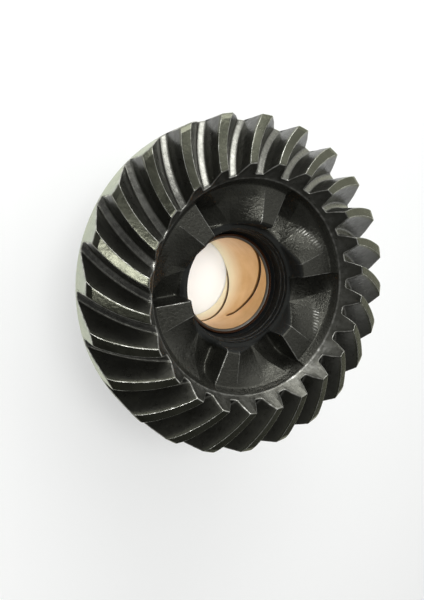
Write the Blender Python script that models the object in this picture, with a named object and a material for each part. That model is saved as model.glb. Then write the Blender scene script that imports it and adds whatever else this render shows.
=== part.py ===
"""Spiral bevel gear with dog-clutch lugs and a pressed-in grooved bronze bush.

Axis of rotation on +Z, toothed side up, hub's rear face on Z = 0.
"""

import math

import bmesh
import bpy

MM = 0.001

# teeth
TEETH = 24
PITCH = 360.0 / TEETH
TOE_CENTRE = 11.94  # direction of one tooth's middle at its toe, degrees
SPIRAL = -11.59  # turn of the tooth's top from toe to heel, degrees
SPIRAL_BOW = -0.16
ROOT_TURN = -4.60  # how much more the bottom of the gap turns
ROOT_BOW = 0.40
TOE_TIP = (26.11 * MM, 39.06 * MM)
HEEL_TIP = (36.74 * MM, 34.67 * MM)
TOE_ROOT = (24.30 * MM, 35.50 * MM)
HEEL_ROOT = (36.90 * MM, 26.95 * MM)
TIP_HALF_DEG = 1.92
TOE_ROOT_HALF_DEG = 5.35
HEEL_ROOT_HALF_DEG = 6.05
FLANK_BULGE_DEG = 0.25
HEEL_CHAMFER = 0.04
STATIONS = (0.0, 0.2, 0.42, 0.66, 0.9, 1.0)

# blank
RIM = (23.68 * MM, 34.03 * MM)
OUTER_LOW = (36.90 * MM, 26.07 * MM)
BACK_SHOULDER = (26.00 * MM, 17.50 * MM)
HUB_R = 20.00 * MM
HUB_CHAMFER = 1.00 * MM
BORE_R = 12.21 * MM
BORE_CHAMFER = 0.80 * MM
COUNTERBORE_FLOOR = 22.00 * MM
COLLAR_FOOT = (12.45 * MM, 22.80 * MM)
COLLAR_TOP = (13.20 * MM, 27.28 * MM)

# clutch lugs, one every 60 degrees
LUGS = 6
LUG_TOP = 32.12 * MM
SEGMENTS = 96

# bush
BUSH_BORE_R = 11.00 * MM
BUSH_OUTER_R = 11.94 * MM
BUSH_REAR = 0.25 * MM
BUSH_LIP = 21.45 * MM
BUSH_FRONT = 22.26 * MM
BUSH_FRONT_R = 11.77 * MM
GROOVE_R = 0.42 * MM
FRONT_GROOVE = ((56.0, 21.85 * MM), (-58.0, 12.20 * MM))
REAR_GROOVE = ((19.0, 0.15 * MM), (-228.0, 21.20 * MM))


def lerp(a, b, t):
    return a + (b - a) * t


def table(r, rows):
    """Value at r of a line through (r, value) rows."""
    if r <= rows[0][0]:
        return rows[0][1]
    for (r0, v0), (r1, v1) in zip(rows, rows[1:]):
        if r <= r1:
            return lerp(v0, v1, (r - r0) / (r1 - r0))
    return rows[-1][1]


def point(r, z, degrees):
    t = math.radians(degrees)
    return (r * math.cos(t), r * math.sin(t), z)


def tooth_turn(s, depth):
    """Turn at the share s of the face width, from the root (depth 0) to the tip (1)."""
    lag = ROOT_TURN * (s + ROOT_BOW * s * (1.0 - s))
    return SPIRAL * (s + SPIRAL_BOW * s * (1.0 - s)) + lag * (1.0 - depth)


def tooth_ring(s):
    """(r, z, degrees) round the whole gear at the share s of the face width."""
    tip_r, tip_z = lerp(TOE_TIP[0], HEEL_TIP[0], s), lerp(TOE_TIP[1], HEEL_TIP[1], s)
    root_r, root_z = (
        lerp(TOE_ROOT[0], HEEL_ROOT[0], s),
        lerp(TOE_ROOT[1], HEEL_ROOT[1], s),
    )
    top = 1.0 - HEEL_CHAMFER if s == 1.0 else 1.0
    half_root = lerp(TOE_ROOT_HALF_DEG, HEEL_ROOT_HALF_DEG, s)
    half_mid = lerp(half_root, TIP_HALF_DEG, 0.5) + FLANK_BULGE_DEG
    half_top = lerp(half_root, TIP_HALF_DEG, top)
    profile = (
        (-0.5 * PITCH, 0.0),
        (-half_root, 0.06),
        (-half_mid, 0.5 * top),
        (-half_top, top),
        (half_top, top),
        (half_mid, 0.5 * top),
        (half_root, 0.06),
    )
    ring = []
    for tooth in range(TEETH):
        centre = TOE_CENTRE + PITCH * tooth
        for offset, depth in profile:
            ring.append(
                (
                    lerp(root_r, tip_r, depth),
                    lerp(root_z, tip_z, depth),
                    centre + tooth_turn(s, depth) + offset,
                )
            )
    return ring


def lug_ring(r, top, ramp_foot, crease, wall_foot):
    """(r, z, degrees) at radius r. Heights are those of the lug's top land, the foot of its
    ramp, the crease across the pocket's floor and the foot of the next lug's driving wall."""
    r_mm = r / MM
    start = table(r_mm, ((14.8, 23.5), (22.6, 25.0)))
    foot = table(r_mm, ((14.5, 45.1), (20.8, 46.7)))
    across = table(r_mm, ((14.5, 46.9), (22.6, 60.0)))
    wall = table(r_mm, ((14.8, 70.9), (23.3, 70.3)))
    rows = [
        (start, top),
        (lerp(start, foot, 0.33), lerp(top, ramp_foot, 0.33)),
        (lerp(start, foot, 0.67), lerp(top, ramp_foot, 0.67)),
        (foot, ramp_foot),
        (lerp(foot, across, 0.5), lerp(ramp_foot, crease, 0.5)),
        (across, crease),
        (lerp(across, wall - 1.1, 0.33), lerp(crease, wall_foot, 0.33)),
        (lerp(across, wall - 1.1, 0.67), lerp(crease, wall_foot, 0.67)),
        (wall - 1.1, wall_foot),
        (wall, top),
    ]
    land = start + 60.0 - wall
    rows += [(wall + land * i / 6.0, top) for i in range(1, 6)]
    rows.append((start + 60.0 - 0.02 * land, top))
    return [
        (r, z, degrees + 60.0 * lug) for lug in range(LUGS) for degrees, z in rows
    ]


def round_ring(r, z, count=SEGMENTS, phase=0.0):
    return [(r, z, phase + 360.0 * i / count) for i in range(count)]


def add_ring(bm, ring):
    return [(degrees, bm.verts.new(point(r, z, degrees))) for r, z, degrees in ring]


def join_equal(bm, a, b):
    n = len(a)
    for i in range(n):
        j = (i + 1) % n
        bm.faces.new((a[i][1], a[j][1], b[j][1], b[i][1]))


def join_any(bm, a, b):
    """Joins two rings of different counts by advancing round both in step of direction."""
    start = min(range(len(b)), key=lambda i: abs((b[i][0] - a[0][0] + 180) % 360 - 180))
    b = b[start:] + b[:start]
    base_a, base_b = a[0][0], b[0][0]

    def turned(ring, base, i):
        if i == len(ring):
            return 360.0
        return (ring[i][0] - base + 1e-6) % 360.0

    shift = (base_b - base_a + 180) % 360 - 180
    i = j = 0
    while i < len(a) or j < len(b):
        next_a = turned(a, base_a, i + 1) if i < len(a) else 1e9
        next_b = turned(b, base_b, j + 1) + shift if j < len(b) else 1e9
        va, vb = a[i % len(a)][1], b[j % len(b)][1]
        if next_a <= next_b:
            bm.faces.new((va, a[(i + 1) % len(a)][1], vb))
            i += 1
        else:
            bm.faces.new((va, b[(j + 1) % len(b)][1], vb))
            j += 1


def material(name, colour, roughness, metallic):
    mat = bpy.data.materials.new(name)
    mat.use_nodes = True
    shader = mat.node_tree.nodes["Principled BSDF"]
    shader.inputs["Base Color"].default_value = (*colour, 1.0)
    shader.inputs["Roughness"].default_value = roughness
    shader.inputs["Metallic"].default_value = metallic
    return mat


def finish(bm, name, mat):
    bmesh.ops.recalc_face_normals(bm, faces=bm.faces)
    mesh = bpy.data.meshes.new(name)
    bm.to_mesh(mesh)
    bm.free()
    mesh.materials.append(mat)
    mesh.shade_smooth()
    mesh.set_sharp_from_angle(angle=math.radians(28))
    obj = bpy.data.objects.new(name, mesh)
    bpy.context.scene.collection.objects.link(obj)
    return obj


def build_gear():
    bm = bmesh.new()
    # bore and hub, from the counterbore down, round the rear and up to the outer edge
    inner = [
        round_ring(COLLAR_FOOT[0], COLLAR_FOOT[1]),
        round_ring(BORE_R, COUNTERBORE_FLOOR),
        round_ring(BORE_R, BORE_CHAMFER),
        round_ring(BORE_R + BORE_CHAMFER, 0.0),
        round_ring(HUB_R - HUB_CHAMFER, 0.0),
        round_ring(HUB_R, HUB_CHAMFER),
        round_ring(HUB_R, BACK_SHOULDER[1]),
        round_ring(*BACK_SHOULDER),
    ]
    rings = [add_ring(bm, ring) for ring in inner]
    for a, b in zip(rings, rings[1:]):
        join_equal(bm, a, b)
    collar_foot, shoulder = rings[0], rings[-1]

    # lugs and pockets: heights at each radius, in mm over the hub's rear face
    lug_table = (
        (13.20, 27.28, 27.28, 27.28, 27.28),
        (14.00, 27.34, 27.34, 27.34, 27.20),
        (14.30, 31.50, 27.46, 27.48, 26.90),
        (14.85, 32.12, 27.80, 27.72, 26.00),
        (16.40, 32.12, 28.55, 28.25, 24.60),
        (19.40, 32.12, 29.80, 28.98, 24.88),
        (20.80, 32.12, 30.50, 30.35, 25.80),
        (22.00, 32.12, 31.45, 31.55, 27.90),
        (22.80, 32.25, 32.15, 32.20, 30.50),
    )
    lugs = [
        add_ring(
            bm,
            lug_ring(r * MM, top * MM, foot * MM, crease * MM, wall * MM),
        )
        for r, top, foot, crease, wall in lug_table
    ]
    join_any(bm, collar_foot, lugs[0])
    for a, b in zip(lugs, lugs[1:]):
        join_equal(bm, a, b)

    # tooth ring
    toe = tooth_ring(0.0)
    rim = add_ring(bm, [(*RIM, degrees) for _, _, degrees in toe])
    join_any(bm, lugs[-1], rim)
    last = rim
    for s in STATIONS:
        ring = add_ring(bm, tooth_ring(s))
        join_equal(bm, last, ring)
        last = ring
    heel = tooth_ring(1.0)
    low = add_ring(bm, [(*OUTER_LOW, degrees) for _, _, degrees in heel])
    join_equal(bm, last, low)
    join_any(bm, low, shoulder)
    bmesh.ops.triangulate(bm, faces=bm.faces)
    return finish(bm, "gear", material("gear_steel", (0.055, 0.055, 0.05), 0.42, 0.85))


def groove_cutter(name, start, end, steps=44, sides=6):
    bm = bmesh.new()
    rings = []
    for i in range(steps + 1):
        t = i / steps
        degrees, z = lerp(start[0], end[0], t), lerp(start[1], end[1], t)
        along = math.radians(end[0] - start[0]) * BUSH_BORE_R
        length = math.hypot(along, end[1] - start[1])
        ca, cz = along / length, (end[1] - start[1]) / length
        ring = []
        for k in range(sides):
            a = 2.0 * math.pi * (k + 0.5) / sides
            out, across = GROOVE_R * math.cos(a), GROOVE_R * math.sin(a)
            r = BUSH_BORE_R + out
            turn = math.degrees(-across * cz / BUSH_BORE_R)
            ring.append(bm.verts.new(point(r, z + across * ca, degrees + turn)))
        rings.append(ring)
    for a, b in zip(rings, rings[1:]):
        for k in range(sides):
            m = (k + 1) % sides
            bm.faces.new((a[k], a[m], b[m], b[k]))
    bm.faces.new(rings[0])
    bm.faces.new(list(reversed(rings[-1])))
    bmesh.ops.recalc_face_normals(bm, faces=bm.faces)
    mesh = bpy.data.meshes.new(name)
    bm.to_mesh(mesh)
    bm.free()
    obj = bpy.data.objects.new(name, mesh)
    bpy.context.scene.collection.objects.link(obj)
    obj.hide_render = True
    obj.display_type = "WIRE"
    return obj


def build_bush():
    bm = bmesh.new()
    profile = (
        (BUSH_BORE_R, BUSH_LIP),
        (BUSH_FRONT_R, BUSH_FRONT),
        (BUSH_OUTER_R, BUSH_FRONT),
        (BUSH_OUTER_R, BUSH_REAR + 0.4 * MM),
        (BUSH_OUTER_R - 0.3 * MM, BUSH_REAR),
        (BUSH_BORE_R + 0.2 * MM, BUSH_REAR),
        (BUSH_BORE_R, BUSH_REAR + 0.2 * MM),
    )
    rings = [add_ring(bm, round_ring(r, z)) for r, z in profile]
    for a, b in zip(rings, rings[1:] + rings[:1]):
        join_equal(bm, a, b)
    bush = finish(
        bm, "bronze_bush", material("bush_bronze", (0.72, 0.42, 0.2), 0.35, 0.9)
    )
    for name, line in (
        ("front_groove_cutter", FRONT_GROOVE),
        ("rear_groove_cutter", REAR_GROOVE),
    ):
        cut = bush.modifiers.new(name, "BOOLEAN")
        cut.operation = "DIFFERENCE"
        cut.solver = "EXACT"
        cut.object = groove_cutter(name, *line)
    return bush


for old in list(bpy.data.objects):
    bpy.data.objects.remove(old, do_unlink=True)

build_gear()
build_bush()
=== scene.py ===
"""Looks for the spiral bevel gear: fine meshes for the steel forging and the bronze bush,
their materials, a pale floor, soft studio light and the camera."""

import math

import bpy
import numpy as np
from mathutils import Matrix


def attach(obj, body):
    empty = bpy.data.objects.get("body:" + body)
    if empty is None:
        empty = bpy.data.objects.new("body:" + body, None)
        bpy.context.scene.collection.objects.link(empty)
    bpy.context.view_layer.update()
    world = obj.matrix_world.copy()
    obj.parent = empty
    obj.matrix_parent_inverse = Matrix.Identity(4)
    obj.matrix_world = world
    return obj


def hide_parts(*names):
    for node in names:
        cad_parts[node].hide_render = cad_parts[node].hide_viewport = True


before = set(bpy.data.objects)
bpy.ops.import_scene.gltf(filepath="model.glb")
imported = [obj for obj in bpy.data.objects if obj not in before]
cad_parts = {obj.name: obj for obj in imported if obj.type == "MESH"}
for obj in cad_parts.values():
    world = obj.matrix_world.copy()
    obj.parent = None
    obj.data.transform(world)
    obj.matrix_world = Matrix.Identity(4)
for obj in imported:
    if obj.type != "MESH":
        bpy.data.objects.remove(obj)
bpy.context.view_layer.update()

MM = 0.001

# ---------------------------------------------------------------- dimensions, mm and degrees
TEETH = 24
PITCH = 360.0 / TEETH
TOE_CENTRE = 11.94
SPIRAL = -11.59
SPIRAL_BOW = -0.16
ROOT_TURN = -4.60
ROOT_BOW = 0.40
TOE_TIP = np.array((26.11, 39.06))
HEEL_TIP = np.array((36.74, 34.67))
TOE_ROOT = np.array((24.30, 35.50))
HEEL_ROOT = np.array((36.90, 26.95))
TIP_HALF = 1.92
TOE_ROOT_HALF = 5.35
HEEL_ROOT_HALF = 6.05
HEEL_CHAMFER = 0.04
CHAMFER_FROM = 0.9
RIM = (23.68, 34.03)
OUTER_LOW = (36.90, 26.07)
SHOULDER = (26.00, 17.50)
HUB_R = 20.00
BORE_R = 12.21
LUGS = 6
REACH = 36.87

BUSH_BORE = 11.00
BUSH_OUTER = 11.94
BUSH_REAR = 0.25
BUSH_LIP = 21.45
BUSH_FRONT = 22.26
BUSH_FRONT_R = 11.77


def lerp(a, b, t):
    return a + (b - a) * t


def smoothstep(lo, hi, x):
    t = np.clip((np.asarray(x, float) - lo) / (hi - lo), 0.0, 1.0)
    return t * t * (3.0 - 2.0 * t)


def rounded(corners, radii, arc=5, straight=2):
    """Points along a path of straight runs whose inner corners are rounded. Every path with
    the same corner count gives the same point count. Returns points and, for each, how near
    it is to a rounded corner's middle (1 at the middle, 0 on a straight run)."""
    corners = [np.asarray(c, float) for c in corners]
    n = len(corners)
    arcs = [arc] * n if isinstance(arc, int) else arc
    runs = [straight] * n if isinstance(straight, int) else straight
    starts, ends = [corners[0]] + [None] * (n - 1), [corners[0]] + [None] * (n - 1)
    for i in range(1, n - 1):
        a, b = corners[i - 1] - corners[i], corners[i + 1] - corners[i]
        la, lb = np.linalg.norm(a) + 1e-9, np.linalg.norm(b) + 1e-9
        cosine = np.clip(np.dot(a, b) / la / lb, -1, 1)
        turn = math.pi - math.acos(cosine)
        t = min(radii[i] * math.tan(turn / 2.0), 0.47 * la, 0.47 * lb)
        starts[i], ends[i] = corners[i] + a / la * t, corners[i] + b / lb * t
    starts[-1] = ends[-1] = corners[-1]
    points, near = [], []
    for i in range(n - 1):
        if i > 0:
            for k in range(arcs[i] + 1):
                u = k / arcs[i]
                points.append(
                    (1 - u) ** 2 * starts[i] + 2 * u * (1 - u) * corners[i] + u * u * ends[i]
                )
                near.append((i, 1.0 - abs(2.0 * u - 1.0)))
        else:
            points.append(corners[0])
            near.append((0, 0.0))
        for k in range(1, runs[i] + 1):
            u = k / (runs[i] + 1)
            points.append(lerp(ends[i], starts[i + 1], u))
            near.append((i, 0.0))
    points.append(corners[-1])
    near.append((n - 1, 0.0))
    return np.array(points), near


class Skin:
    """A mesh made of closed rings of points round the Z axis."""

    def __init__(self):
        self.points, self.faces, self.marks = [], [], []
        self.count = 0

    def ring(self, r, z, degrees, marks=None):
        """marks: (n, 4) of worn edge (on the gear also painted highlights on the pocket ribs and the rim), ground
        root, top land, machined end face.
        """
        n = len(degrees)
        t = np.radians(degrees)
        r, z = np.minimum(np.broadcast_to(r, (n,)), REACH), np.broadcast_to(z, (n,))
        self.points.append(np.stack([r * np.cos(t), r * np.sin(t), z], 1) * MM)
        self.marks.append(
            np.zeros((n, 4)) if marks is None else np.broadcast_to(marks, (n, 4))
        )
        start = self.count
        self.count += n
        return (start, np.asarray(degrees, float))

    def join(self, a, b):
        (sa, da), (sb, db) = a, b
        n = len(da)
        if n == len(db):
            i = np.arange(n)
            j = (i + 1) % n
            self.faces += np.stack([sa + i, sa + j, sb + j, sb + i], 1).tolist()
            return
        off = (db - da[0] + 180.0) % 360.0 - 180.0
        first = int(np.argmin(np.abs(off)))
        order = np.roll(np.arange(len(db)), -first)
        angle_a = np.append((da - da[0] + 1e-6) % 360.0, 360.0)
        angle_b = np.append((db[order] - db[first] + 1e-6) % 360.0, 360.0) + off[first]
        i = j = 0
        while i < len(da) or j < len(db):
            na = angle_a[i + 1] if i < len(da) else 1e9
            nb = angle_b[j + 1] if j < len(db) else 1e9
            va, vb = sa + i % len(da), sb + int(order[j % len(db)])
            if na <= nb:
                self.faces.append([va, sa + (i + 1) % len(da), vb])
                i += 1
            else:
                self.faces.append([va, sb + int(order[(j + 1) % len(db)]), vb])
                j += 1

    def build(self, name):
        mesh = bpy.data.meshes.new(name)
        mesh.from_pydata(np.concatenate(self.points).tolist(), [], self.faces)
        mesh.validate()
        marks = np.concatenate(self.marks)
        layer = mesh.color_attributes.new("marks", "FLOAT_COLOR", "POINT")
        layer.data.foreach_set(
            "color", marks.astype("f").ravel()
        )
        mesh.shade_smooth()
        obj = bpy.data.objects.new(name, mesh)
        bpy.context.scene.collection.objects.link(obj)
        return obj


# ---------------------------------------------------------------- the steel forging
def tooth_turn(s, depth):
    """Turn at the share s of the face width, from the root (depth 0) to the tip (1)."""
    lag = ROOT_TURN * (s + ROOT_BOW * s * (1.0 - s))
    return SPIRAL * (s + SPIRAL_BOW * s * (1.0 - s)) + lag * (1.0 - depth)


def tooth_ring(s, inset=0.0):
    """One ring over all teeth at the share s of the face width. inset moves the profile into
    the metal, in mm, for the rounded ends of the teeth."""
    s_in = min(max(s, 0.0), 1.0)
    tip, root = lerp(TOE_TIP, HEEL_TIP, s), lerp(TOE_ROOT, HEEL_ROOT, s)
    depth = np.linalg.norm(tip - root)
    top = 1.0
    if s_in > CHAMFER_FROM:
        top -= HEEL_CHAMFER * (s_in - CHAMFER_FROM) / (1.0 - CHAMFER_FROM)
    half_root = lerp(TOE_ROOT_HALF, HEEL_ROOT_HALF, s_in)
    k = math.radians(1.0) * root[0]
    x_root, x_tip = half_root * k, TIP_HALF * k
    x_top = lerp(x_root, x_tip, top)
    bulge = 0.10 + 0.08 * s_in
    mid = np.array((-(x_root + x_top) / 2.0 - bulge, depth * top / 2.0))
    corners = [
        (-0.5 * PITCH * k, 0.0),
        (-x_root, 0.0),
        mid,
        (-x_top, depth * top),
        (0.0, depth * top),
    ]
    half, near = rounded(
        corners,
        [0, lerp(0.85, 1.0, s_in), 6.0, 0.2, 0],
        arc=[0, 8, 4, 4, 0],
        straight=[2, 3, 3, 3, 0],
    )
    step = np.gradient(half, axis=0)
    step /= np.linalg.norm(step, axis=1)[:, None] + 1e-12
    step[0], step[-1] = (1, 0), (1, 0)
    if inset:
        half = half + np.stack([step[:, 1], -step[:, 0]], 1) * inset
    height = half[:, 1] / depth
    edge = np.array([m if i == 3 else 0.0 for i, m in near])
    root_mark = np.array(
        [1.0 if i == 0 else (1.0 - 0.9 * q / 8.0) for q, (i, m) in enumerate(near[:12])]
        + [0.0] * (len(near) - 12)
    )
    flat = np.array([1.0 if i == 3 and m < 0.75 else 0.0 for i, m in near])
    flat[-1] = 1.0
    pick = list(range(len(half))) + list(range(len(half) - 2, 0, -1))
    side = np.array([1.0] * len(half) + [-1.0] * (len(half) - 2))
    x, h = half[pick, 0] * side, height[pick]
    marks = np.stack([edge[pick], root_mark[pick], flat[pick], 0.0 * edge[pick]], 1)
    centres = TOE_CENTRE + PITCH * np.arange(TEETH)
    degrees = (centres[:, None] + (tooth_turn(s, h) + x / k)[None, :]).ravel()
    h = np.tile(h, TEETH)
    return (
        root[0] + (tip[0] - root[0]) * h,
        root[1] + (tip[1] - root[1]) * h,
        degrees,
        np.tile(marks, (TEETH, 1)),
    )


def radial(points, radius=0.5):
    line, _ = rounded(points, [radius] * len(points), arc=8, straight=1)
    return lambda r: np.interp(r, line[:, 0], line[:, 1])


land_z = radial(
    ((13.2, 27.28), (14.0, 27.34), (14.28, 31.5), (14.85, 32.12), (22.5, 32.12), (23.68, 34.03)), 0.2
)
foot_z = radial(
    ((13.2, 27.28), (14.3, 27.45), (16.4, 28.5), (20.3, 30.15), (22.8, 32.25), (23.68, 34.03)),
    0.9,
)
crease_z = radial(
    ((13.2, 27.28), (14.3, 27.45), (16.4, 28.25), (19.4, 28.95), (21.8, 31.4), (22.9, 32.35), (23.68, 34.03)),
    0.9,
)
wall_z = radial(
    ((13.2, 27.28), (14.0, 27.1), (15.3, 24.8), (19.6, 24.9), (21.4, 26.2), (22.9, 31.5), (23.68, 34.03)),
    1.0,
)


RIB_STEP = 1.9
SWIRLS = ((227.0, 19.0, 3.4), (283.0, 20.6, 3.0), (347.0, 20.4, 2.6))


def rib_line(degrees):
    """Where the cutter's ribs run: degrees past the start of the ramp, their middle radius,
    and how strong they are. Three of the six pockets have them."""
    turn = (degrees - 24.0) % 60.0
    around = (degrees + 180.0) % 360.0 - 180.0
    middle = np.interp(turn, (0.0, 24.0), (21.5, 19.3)) + 1.1 * (around < 20.0)
    return turn, middle, 1.0 - smoothstep(68.0, 74.0, np.abs(around - 10.0))


def unevenness(r, degrees):
    """Height of the forging's skin over its nominal shape, in mm: a slow swell, and the fine
    chatter that a cutter left round the outer fillet of each pocket."""
    t = np.radians(degrees)
    x, y = r * np.cos(t), r * np.sin(t)
    swell = (
        np.sin(1.9 * x + 0.6 * y + 0.4)
        + np.sin(-0.8 * x + 2.3 * y + 1.9)
        + 0.7 * np.sin(3.1 * x - 1.7 * y + 4.0)
        + 0.5 * np.sin(4.3 * x + 3.6 * y + 2.2)
    )
    turn, middle, present = rib_line(degrees)
    chatter = present * (1.0 - smoothstep(0.35, 1.0, np.abs(r - middle))) * (1.0 - smoothstep(22.0, 26.0, turn))
    patchy = 0.6 + 0.4 * np.sin(3.0 * t + 0.8)
    ribs = chatter * patchy * np.sin(np.radians(degrees * 360.0 / RIB_STEP))
    swirl = np.zeros_like(degrees)
    for angle, centre, size in SWIRLS:
        away = np.hypot(
            x - centre * math.cos(math.radians(angle)), y - centre * math.sin(math.radians(angle))
        )
        swirl += np.sin(away * 2.0 * math.pi / 0.62) * (1.0 - smoothstep(size - 0.8, size, away))
    return -0.045 + 0.004 * swell + 0.020 * ribs + 0.010 * swirl


def lug_ring(r):
    start = np.interp(r, (14.8, 22.6), (23.5, 25.0))
    foot = np.interp(r, (14.5, 20.8), (45.1, 46.7))
    across = np.interp(r, (14.5, 22.6), (46.9, 60.0))
    wall = np.interp(r, (14.8, 23.3), (70.9, 70.3))
    top, z_foot, z_cross, z_wall = land_z(r), foot_z(r), crease_z(r), wall_z(r)
    k = math.radians(1.0) * r
    middle = (start + wall - 60.0) / 2.0
    corners = [
        (middle * k, top),
        (start * k, top),
        (foot * k, z_foot),
        (across * k, z_cross),
        ((wall - 0.9) * k, z_wall),
        (wall * k, top),
        ((middle + 60.0) * k, top),
    ]
    points, near = rounded(
        corners,
        [0, 0.4, 0.5, 0.25, 0.8, 0.22, 0],
        arc=[0, 5, 5, 4, 7, 5, 0],
        straight=[4, 60, 8, 60, 7, 4, 0],
    )
    low = np.clip((top - points[:, 1]) / 0.9, 0.0, 1.0) * float(smoothstep(13.6, 14.4, r))
    low *= float(1.0 - smoothstep(22.6, 23.4, r))
    edge = np.array([m * {1: 0.6, 5: 1.0}.get(i, 0.0) for i, m in near])
    fade = float(smoothstep(14.0, 15.0, r) * (1.0 - smoothstep(21.8, 22.8, r)))
    flat = np.array([1.0 if i in (0, 5) and m < 0.75 else 0.0 for i, m in near])
    marks = np.stack([edge * fade, 0.0 * edge, 0.0 * edge, 0.0 * edge], 1)
    points, marks = points[:-1], np.tile(marks[:-1], (LUGS, 1))
    degrees = (points[:, 0] / k)[None, :] + 60.0 * np.arange(LUGS)[:, None]
    crest = np.sin(np.radians(degrees * 360.0 / RIB_STEP))
    turn, middle, present = rib_line(degrees)
    band = present * (1.0 - smoothstep(0.3, 0.8, np.abs(r - middle)))
    # Painted highlight: the crests of the ribs get the worn-edge mark, so they show as bright bare metal where the
    # ribs catch the light.
    rib_highlight = low[None, :-1] * band * smoothstep(0.1, 0.9, crest)
    rib_highlight *= smoothstep(1.0, 4.0, turn) * (1.0 - smoothstep(20.0, 24.0, turn))
    marks[:, 0] = np.maximum(marks[:, 0], rib_highlight.ravel())
    heights = points[:, 1][None, :] + low[None, :-1] * unevenness(r, degrees)
    return (
        np.full(degrees.size, r),
        heights.ravel(),
        degrees.ravel(),
        marks,
    )


def build_gear():
    skin = Skin()
    radii = np.unique(
        np.round(
            np.concatenate(
                [
                    np.linspace(13.2, 15.2, 19),
                    np.linspace(15.2, 21.2, 19),
                    np.linspace(21.2, 23.5, 16),
                ]
            ),
            4,
        )
    )
    lugs = [lug_ring(r) for r in radii]
    directions = lugs[0][2]

    # bore, rear of the hub, hub, back of the gear: one rounded outline, turned
    outline = [
        (13.20, 27.28),
        (13.04, 26.62),
        (12.93, 26.56),
        (12.84, 25.30),
        (12.70, 25.22),
        (12.62, 22.90),
        (12.21, 22.00),
        (12.21, 0.80),
        (13.01, 0.0),
        (19.0, 0.0),
        (20.0, 1.0),
        (20.0, 15.9),
        (19.7, 16.2),
        (19.7, 17.5),
        (26.0, 17.5),
        (27.2, 18.4),
        (36.3, 25.3),
        (36.90, 26.07),
    ]
    turned, near = rounded(
        outline,
        [0, 0.08, 0.05, 0.08, 0.05, 0.2, 0.12, 0.15, 0.12, 0.3, 0.3, 0.15, 0.15, 0.25, 0.4, 2.0, 0.4, 0],
        arc=4,
        straight=[2, 1, 2, 1, 3, 2, 14, 2, 3, 2, 10, 1, 1, 4, 2, 6, 2, 0],
    )
    turned = turned[:-1]
    rings = []
    for q, (r, z) in enumerate(turned[1:], 1):
        i, m = near[q]
        worn = m * (0.8 if i in (8, 9, 10, 14) else 0.3)
        if i in (1, 3):
            worn = 0.22 * m
        rings.append(skin.ring(r, z, directions, (worn, 0.0, 0.0, 0.0)))
    for a, b in zip(rings, rings[1:]):
        skin.join(a, b)
    back = rings[-1]

    last = rings[0]
    first_lug = None
    for r, z, degrees, marks in lugs:
        ring = skin.ring(r, z, degrees, marks)
        if first_lug is None:
            first_lug = ring
            skin.join(ring, last)
        else:
            skin.join(last, ring)
        last = ring

    # rim and tooth ring
    _, _, toe_dirs, _ = tooth_ring(0.0)
    round_off = 0.22
    length = float(np.linalg.norm(HEEL_TIP - TOE_TIP))
    e = round_off / length
    # Rim edge wear with a painted highlight: the worn mark is full round the lower right, near -47 degrees, where
    # the rim catches the light, and drops to 0.22 of that elsewhere.
    rim_wear_and_highlight = (toe_dirs + 47.0 + 180.0) % 360.0 - 180.0
    rim_wear_and_highlight = 0.22 + 0.78 * (1.0 - smoothstep(7.0, 22.0, np.abs(rim_wear_and_highlight)))
    for r, z, worn in ((23.55, 33.82, 0.3), (23.62, 33.97, 0.9), (23.72, 34.10, 1.0), (23.88, 34.25, 0.3)):
        marks = np.zeros((len(toe_dirs), 4))
        marks[:, 0] = rim_wear_and_highlight * worn
        ring = skin.ring(r, z, toe_dirs, marks)
        skin.join(last, ring)
        last = ring
    stations = [(0.0, round_off, 0.0), (0.29 * e, 0.29 * round_off, 0.9)]
    inner = np.unique(
        np.round(
            np.concatenate(
                [
                    np.linspace(e, 0.86, 26),
                    np.linspace(0.86, 0.893, 3),
                    (0.9, 0.907),
                    np.linspace(0.925, 1.0 - e, 5),
                ]
            ),
            6,
        )
    )
    stations += [(float(s), 0.0, 0.0) for s in inner]
    stations += [(1.0 - 0.29 * e, 0.29 * round_off, 1.0), (1.0, round_off, 0.4)]
    for s, inset, worn in stations:
        r, z, degrees, marks = tooth_ring(s, inset)
        marks = marks.copy()
        marks[:, 0] = np.maximum(marks[:, 0], worn)
        if s == 0.0:
            marks[:, 0:3] = 0.0
        if s == 1.0:
            marks[:, 3] = 1.0
        ring = skin.ring(r, z, degrees, marks)
        skin.join(last, ring)
        last = ring
    _, _, heel_dirs, _ = tooth_ring(1.0)
    for r, z in ((36.90, 26.42), (36.90, 26.25), (36.84, 26.02)):
        ring = skin.ring(r, z, heel_dirs, (0.0, 0.0, 0.0, 1.0))
        skin.join(last, ring)
        last = ring
    skin.join(last, back)
    return skin.build("gear_forging")


# ---------------------------------------------------------------- the bronze bush
GROOVES = (
    ((58.0, 21.9), (46.5, 21.25), (21.3, 19.25), (1.5, 17.55), (-17.4, 15.9), (-34.2, 14.1), (-50.6, 12.75), (-56.0, 11.6)),
    ((19.0, 0.1), (14.2, 0.35), (-22.7, 3.1), (-64.5, 6.85), (-92.0, 9.1), (-160.0, 15.0), (-228.0, 21.2)),
)


def groove_depth(degrees, z):
    depth = np.zeros_like(z)
    for path in GROOVES:
        fine = []
        for (a0, z0), (a1, z1) in zip(path, path[1:]):
            for i in range(24):
                fine.append((lerp(a0, a1, i / 24.0), lerp(z0, z1, i / 24.0)))
        fine.append(path[-1])
        best = np.full(z.shape, 1e9)
        for (a0, z0), (a1, z1) in zip(fine, fine[1:]):
            k = math.radians(1.0) * BUSH_BORE
            dx = ((degrees - a0 + 180.0) % 360.0 - 180.0) * k
            vx, vz = (a1 - a0) * k, z1 - z0
            t = np.clip((dx * vx + (z - z0) * vz) / (vx * vx + vz * vz), 0, 1)
            best = np.minimum(best, np.hypot(dx - t * vx, (z - z0) - t * vz))
        depth = np.maximum(depth, 1.0 - smoothstep(0.30, 0.60, best))
    return depth


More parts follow.
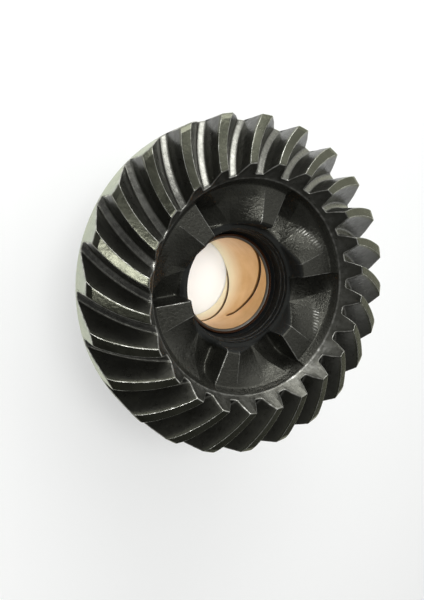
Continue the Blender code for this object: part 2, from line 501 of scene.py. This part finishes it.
def build_bush():
    skin = Skin()
    n = 600
    directions = np.arange(n) * 360.0 / n
    heights = np.linspace(BUSH_REAR + 0.2, BUSH_LIP - 0.12, 200)
    last = None
    rings = []
    for z in heights:
        depth = groove_depth(directions, np.full(n, z))
        rings.append(
            skin.ring(
                BUSH_BORE + 0.34 * depth, z, directions,
                np.stack([np.zeros(n), depth, np.zeros(n), np.zeros(n)], 1),
            )
        )
    outline, near = rounded(
        [
            (BUSH_BORE, BUSH_LIP - 0.12),
            (BUSH_BORE, BUSH_LIP),
            (BUSH_BORE + 0.42, BUSH_LIP + 0.48),
            (BUSH_BORE + 0.55, BUSH_LIP + 0.42),
            (BUSH_FRONT_R, BUSH_FRONT),
            (BUSH_OUTER, BUSH_FRONT - 0.02),
            (BUSH_OUTER, BUSH_REAR + 0.4),
            (BUSH_OUTER - 0.3, BUSH_REAR),
            (BUSH_BORE + 0.2, BUSH_REAR),
            (BUSH_BORE, BUSH_REAR + 0.2),
        ],
        [0, 0.08, 0.08, 0.08, 0.1, 0.08, 0.1, 0.1, 0.1, 0],
        arc=3,
        straight=[0, 3, 1, 2, 1, 2, 1, 1, 1, 0],
    )
    for r, z in outline[1:-1]:
        chamfer = float(smoothstep(BUSH_LIP - 0.02, BUSH_LIP + 0.08, z))
        # Painted shade: the dark groove mark is also set along the lip and on the outer edge of the front face,
        # standing in for the shade there and in the gap against the steel.
        dark = float(smoothstep(11.42, 11.5, r) * smoothstep(20.0, 21.0, z))
        dark = max(dark, 1.0 - abs(z - BUSH_LIP) / 0.1) if z > 20.0 else 0.0
        rings.append(skin.ring(r, z, directions, (chamfer, dark, 0.0, 0.0)))
    for a, b in zip(rings, rings[1:] + rings[:1]):
        skin.join(a, b)
    return skin.build("bush_sleeve")


# ---------------------------------------------------------------- materials
class Nodes:
    def __init__(self, name):
        self.mat = bpy.data.materials.new(name)
        self.mat.use_nodes = True
        self.tree = self.mat.node_tree
        self.shader = self.tree.nodes["Principled BSDF"]

    def add(self, kind, **inputs):
        node = self.tree.nodes.new(kind)
        for key, value in inputs.items():
            setattr(node, key, value)
        return node

    def link(self, a, b):
        self.tree.links.new(a, b)

    def noise(self, scale, detail=4.0, rough=0.55, stretch=None):
        co = self.add("ShaderNodeTexCoord").outputs["Object"]
        if stretch:
            mapping = self.add("ShaderNodeMapping")
            mapping.inputs["Scale"].default_value = stretch
            self.link(co, mapping.inputs["Vector"])
            co = mapping.outputs["Vector"]
        node = self.add("ShaderNodeTexNoise")
        node.inputs["Scale"].default_value = scale
        node.inputs["Detail"].default_value = detail
        node.inputs["Roughness"].default_value = rough
        self.link(co, node.inputs["Vector"])
        return node.outputs["Fac"]

    def ramp(self, fac, stops):
        node = self.add("ShaderNodeValToRGB")
        elements = node.color_ramp.elements
        while len(elements) < len(stops):
            elements.new(0.5)
        for element, (place, colour) in zip(elements, stops):
            element.position = place
            element.color = (*colour, 1.0) if len(colour) == 3 else colour
        self.link(fac, node.inputs["Fac"])
        return node.outputs["Color"]

    def grey_ramp(self, fac, stops):
        return self.ramp(fac, [(p, (v, v, v)) for p, v in stops])

    def math(self, op, a, b=None, clamp=False):
        node = self.add("ShaderNodeMath", operation=op, use_clamp=clamp)
        for socket, value in zip(node.inputs, (a, b)):
            if value is None:
                continue
            if isinstance(value, (int, float)):
                socket.default_value = value
            else:
                self.link(value, socket)
        return node.outputs["Value"]

    def mix(self, fac, a, b, blend="MIX"):
        node = self.add("ShaderNodeMix", data_type="RGBA", blend_type=blend)
        for socket, value in ((node.inputs[0], fac), (node.inputs[6], a), (node.inputs[7], b)):
            if isinstance(value, (int, float)):
                socket.default_value = value
            elif isinstance(value, tuple):
                socket.default_value = (*value, 1.0)
            else:
                self.link(value, socket)
        return node.outputs[2]

    def marks(self):
        node = self.add("ShaderNodeAttribute", attribute_name="marks")
        split = self.add("ShaderNodeSeparateColor")
        self.link(node.outputs["Color"], split.inputs["Color"])
        return (
            split.outputs["Red"],
            split.outputs["Green"],
            split.outputs["Blue"],
            node.outputs["Alpha"],
        )

    def inside(self, edge, z):
        """1 where the point is nearer the axis than edge and above z, both in metres."""
        split = self.add("ShaderNodeSeparateXYZ")
        self.link(self.add("ShaderNodeTexCoord").outputs["Object"], split.inputs["Vector"])
        x, y = split.outputs["X"], split.outputs["Y"]
        square = self.math("ADD", self.math("MULTIPLY", x, x), self.math("MULTIPLY", y, y))
        near = self.math("LESS_THAN", square, edge**2)
        return self.math("MULTIPLY", near, self.math("GREATER_THAN", split.outputs["Z"], z))

    def inner(self):
        """The collar's wall, that and the lugs' inner faces, and the whole sunk middle."""
        return self.inside(0.01322, 0.0205), self.inside(0.0146, 0.0205), self.inside(0.0234, 0.0205)

    def bump(self, height, strength, distance, normal=None):
        node = self.add("ShaderNodeBump")
        node.inputs["Strength"].default_value = strength
        node.inputs["Distance"].default_value = distance
        self.link(height, node.inputs["Height"])
        if normal is not None:
            self.link(normal, node.inputs["Normal"])
        return node.outputs["Normal"]


def steel():
    """Black oiled steel: a dark oxide skin that shines like oil, worn or ground to metal where
    the marks say. The worn mark also carries painted highlights on the pocket ribs and the rim, and the collar and
    the lugs' inner faces have painted shading."""
    m = Nodes("oiled_steel")
    worn, root, land, end = m.marks()
    blotch = m.noise(170.0, 5.0)
    fine = m.noise(1100.0, 3.0)
    speck = m.noise(700.0, 2.0)
    skin = m.ramp(
        blotch,
        [(0.32, (0.008, 0.008, 0.0065)), (0.55, (0.013, 0.013, 0.011)), (0.75, (0.024, 0.024, 0.019))],
    )
    lapped = m.ramp(blotch, [(0.3, (0.058, 0.060, 0.045)), (0.7, (0.090, 0.092, 0.070))])
    ground = m.ramp(fine, [(0.3, (0.12, 0.12, 0.108)), (0.7, (0.19, 0.19, 0.172))])
    turned = m.ramp(blotch, [(0.3, (0.33, 0.365, 0.32)), (0.7, (0.40, 0.435, 0.39))])
    bare = m.ramp(fine, [(0.3, (0.42, 0.42, 0.38)), (0.7, (0.70, 0.70, 0.66))])
    inner, throat_painted_shading, face = m.inner()
    grain = m.noise(1700.0, 2.5, 0.6)
    # Painted shading: the lugs' inner faces get a flat neutral grey and the collar's wall a very dark bluish base,
    # both with little shine. These replace the brown light the bronze throws on them and keep the collar's wall dark
    # as shade.
    skin = m.mix(throat_painted_shading, skin, (0.021, 0.022, 0.021))
    skin = m.mix(inner, skin, (0.0075, 0.0090, 0.010))
    colour = m.mix(land, skin, lapped)
    colour = m.mix(root, colour, ground)
    colour = m.mix(end, colour, turned)
    # Worn edges show bare metal; the same mark also brings the painted highlights on the rib crests and the rim.
    edge = m.math("MULTIPLY", worn, m.grey_ramp(speck, [(0.42, 0.30), (0.62, 1.0)]))
    colour = m.mix(edge, colour, bare)
    m.link(colour, m.shader.inputs["Base Color"])
    metal = m.math("MAXIMUM", m.math("MAXIMUM", land, root), m.math("MAXIMUM", end, edge))
    m.link(metal, m.shader.inputs["Metallic"])
    oily = m.grey_ramp(fine, [(0.3, 0.26), (0.7, 0.40)])
    oily = m.mix(face, oily, m.grey_ramp(grain, [(0.35, 0.24), (0.65, 0.46)]))
    oily = m.mix(throat_painted_shading, oily, (0.55, 0.55, 0.55))
    gloss = m.mix(throat_painted_shading, m.grey_ramp(face, [(0.0, 0.5), (1.0, 0.42)]), (0.04, 0.04, 0.04))
    gloss = m.mix(inner, gloss, (0.12, 0.12, 0.12))
    m.link(gloss, m.shader.inputs["Specular IOR Level"])
    rough = m.mix(metal, oily, m.grey_ramp(blotch, [(0.3, 0.20), (0.7, 0.32)]))
    m.link(rough, m.shader.inputs["Roughness"])
    m.shader.inputs["IOR"].default_value = 1.6
    m.shader.inputs["Specular Tint"].default_value = (1.0, 1.0, 0.86, 1.0)
    normal = m.bump(m.noise(420.0, 4.0), 0.35, 0.00025)
    normal = m.bump(m.noise(2400.0, 2.0), 0.25, 0.00005, normal)
    rough_cast = m.math("MULTIPLY", m.grey_ramp(grain, [(0.38, 0.0), (0.62, 1.0)]), face)
    normal = m.bump(rough_cast, 0.55, 0.00006, normal)
    m.link(normal, m.shader.inputs["Normal"])
    return m.mat


def bronze():
    m = Nodes("bush_bronze")
    chamfer, groove_and_shade, _, _ = m.marks()
    blotch = m.noise(160.0, 3.0)
    turning = m.noise(1500.0, 2.0, stretch=(0.02, 0.02, 1.0))
    base = m.ramp(blotch, [(0.3, (0.66, 0.38, 0.145)), (0.7, (0.80, 0.52, 0.25))])
    split = m.add("ShaderNodeSeparateXYZ")
    m.link(m.add("ShaderNodeTexCoord").outputs["Object"], split.inputs["Vector"])
    # Painted light: the bore fades to a pale cream towards its rear end, standing in for the floor's light falling
    # into the bore.
    rear_painted_light = m.math("MULTIPLY", split.outputs["Z"], 1.0 / 0.012, clamp=True)
    base = m.mix(m.grey_ramp(rear_painted_light, [(0.15, 1.0), (0.85, 0.0)]), base, (0.93, 0.84, 0.60))
    colour = m.mix(chamfer, base, (0.17, 0.165, 0.145))
    # Dark brown in the oil grooves, and painted shade at the lip and the front face's outer edge.
    colour = m.mix(groove_and_shade, colour, (0.050, 0.018, 0.006))
    m.link(colour, m.shader.inputs["Base Color"])
    m.link(m.grey_ramp(turning, [(0.3, 0.30), (0.7, 0.42)]), m.shader.inputs["Roughness"])
    m.shader.inputs["Metallic"].default_value = 0.7
    m.link(m.bump(turning, 0.15, 0.00005), m.shader.inputs["Normal"])
    return m.mat


def floor_material():
    m = Nodes("pale_floor")
    cloud = m.noise(3.0, 3.0)
    m.link(m.ramp(cloud, [(0.3, (0.72, 0.732, 0.724)), (0.7, (0.752, 0.757, 0.752))]), m.shader.inputs["Base Color"])
    m.shader.inputs["Roughness"].default_value = 0.7
    m.shader.inputs["Emission Color"].default_value = (1.0, 1.0, 0.99, 1.0)
    m.shader.inputs["Emission Strength"].default_value = 0.23
    return m.mat


gear = build_gear()
gear.data.materials.append(steel())
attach(gear, "root")
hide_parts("gear")

bush = build_bush()
bush.data.materials.append(bronze())
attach(bush, "root")
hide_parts("bronze_bush")

# ---------------------------------------------------------------- floor, light, camera
floor_mesh = bpy.data.meshes.new("floor")
floor_mesh.from_pydata([(-3, -3, 0), (3, -3, 0), (3, 3, 0), (-3, 3, 0)], [], [(0, 1, 2, 3)])
floor = bpy.data.objects.new("floor", floor_mesh)
floor.location.z = -0.0002
bpy.context.scene.collection.objects.link(floor)
floor_mesh.materials.append(floor_material())

# The room: brightest towards +Y, dimmer towards -Y and behind the photographer.
world = bpy.data.worlds.new("studio")
world.use_nodes = True
sky = world.node_tree
ground_glow = sky.nodes["Background"]
direction = sky.nodes.new("ShaderNodeTexCoord")


def sky_ramp(vector, stops):
    dot = sky.nodes.new("ShaderNodeVectorMath")
    dot.operation = "DOT_PRODUCT"
    dot.inputs[1].default_value = vector
    sky.links.new(direction.outputs["Generated"], dot.inputs[0])
    span = sky.nodes.new("ShaderNodeMapRange")
    span.inputs["From Min"].default_value = -1.0
    sky.links.new(dot.outputs["Value"], span.inputs["Value"])
    ramp = sky.nodes.new("ShaderNodeValToRGB")
    elements = ramp.color_ramp.elements
    while len(elements) < len(stops):
        elements.new(0.5)
    for element, (place, v) in zip(elements, stops):
        element.position = place
        element.color = (v, v, v, 1.0)
    sky.links.new(span.outputs["Result"], ramp.inputs["Fac"])
    return ramp.outputs["Color"]


across = sky_ramp((0.25, 0.96, 0.1), [(0.0, 0.08), (0.45, 0.30), (0.72, 0.76), (0.9, 1.0), (1.0, 1.0)])
behind = sky_ramp((-0.514, 0.083, 0.853), [(0.0, 1.0), (0.80, 1.0), (0.93, 0.22), (1.0, 0.16)])
both = sky.nodes.new("ShaderNodeMix")
both.data_type = "RGBA"
both.blend_type = "MULTIPLY"
both.inputs[0].default_value = 1.0
sky.links.new(across, both.inputs[6])
sky.links.new(behind, both.inputs[7])
sky.links.new(both.outputs[2], ground_glow.inputs["Color"])
ground_glow.inputs["Strength"].default_value = 1.25
bpy.context.scene.world = world


def area(name, place, aim, size, power, colour=(1.0, 1.0, 1.0)):
    light = bpy.data.lights.new(name, "AREA")
    light.shape = "RECTANGLE"
    light.size, light.size_y = size
    light.energy = power
    light.color = colour
    obj = bpy.data.objects.new(name, light)
    place, aim = np.array(place), np.array(aim)
    back = place - aim
    back = back / np.linalg.norm(back)
    side = np.cross((0.0, 0.0, 1.0) if abs(back[2]) < 0.95 else (0.0, 1.0, 0.0), back)
    side /= np.linalg.norm(side)
    up = np.cross(back, side)
    obj.matrix_world = Matrix(
        [[side[i], up[i], back[i], place[i]] for i in range(3)] + [[0, 0, 0, 1]]
    )
    bpy.context.scene.collection.objects.link(obj)
    return obj


area("softbox", (0.02, 0.56, 0.22), (0, 0, 0.03), (0.46, 0.22), 1.9)
area("lamp", (-0.23, 0.035, 0.47), (0, 0, 0.03), (0.10, 0.10), 0.75)
area("top", (-0.05, 0.125, 0.51), (0, 0, 0.03), (0.16, 0.16), 0.62)
bore_light = bpy.data.lights.new("bore_light", "SPOT")
bore_light.energy = 5.2
bore_light.spot_size = math.radians(2.2)
bore_light.spot_blend = 0.3
bore_light.shadow_soft_size = 0.004
bore_lamp = bpy.data.objects.new("bore_light", bore_light)
bore_lamp.location = (0.0, 0.0, 0.6)
bpy.context.scene.collection.objects.link(bore_lamp)

# The view is tilted from the gear's axis: YAW to one side and DIP down, then moved so that
# the gear sits in the frame as the camera's own centre line passes beside it.
YAW, DIP = math.radians(27.10), math.radians(7.33)
FOCUS = 482.1
axis = np.array((math.sin(YAW) * math.cos(DIP), math.sin(DIP), -math.cos(YAW) * math.cos(DIP)))
up_hint = np.array((0.0, -1.0, 0.0))
v_dir = up_hint - axis * np.dot(up_hint, axis)
v_dir /= np.linalg.norm(v_dir)
u_dir = np.cross(v_dir, axis)
camera_place = np.array((-5.1108 * 11.0, 0.8294 * 11.0, 9.2025 * 11.0 + BUSH_LIP)) * MM
camera_data = bpy.data.cameras.new("camera")
camera_data.sensor_fit = "VERTICAL"
camera_data.sensor_height = 36.0
camera_data.lens = FOCUS * 36.0 / 600.0
camera_data.clip_start = 0.005
camera = bpy.data.objects.new("camera", camera_data)
rows = (u_dir, v_dir, axis)
camera.matrix_world = Matrix(
    [[row[0], -row[1], -row[2], camera_place[i]] for i, row in enumerate(rows)] + [[0, 0, 0, 1]]
)
bpy.context.scene.collection.objects.link(camera)
bpy.context.scene.camera = camera
bpy.context.scene.view_settings.view_transform = "Standard"
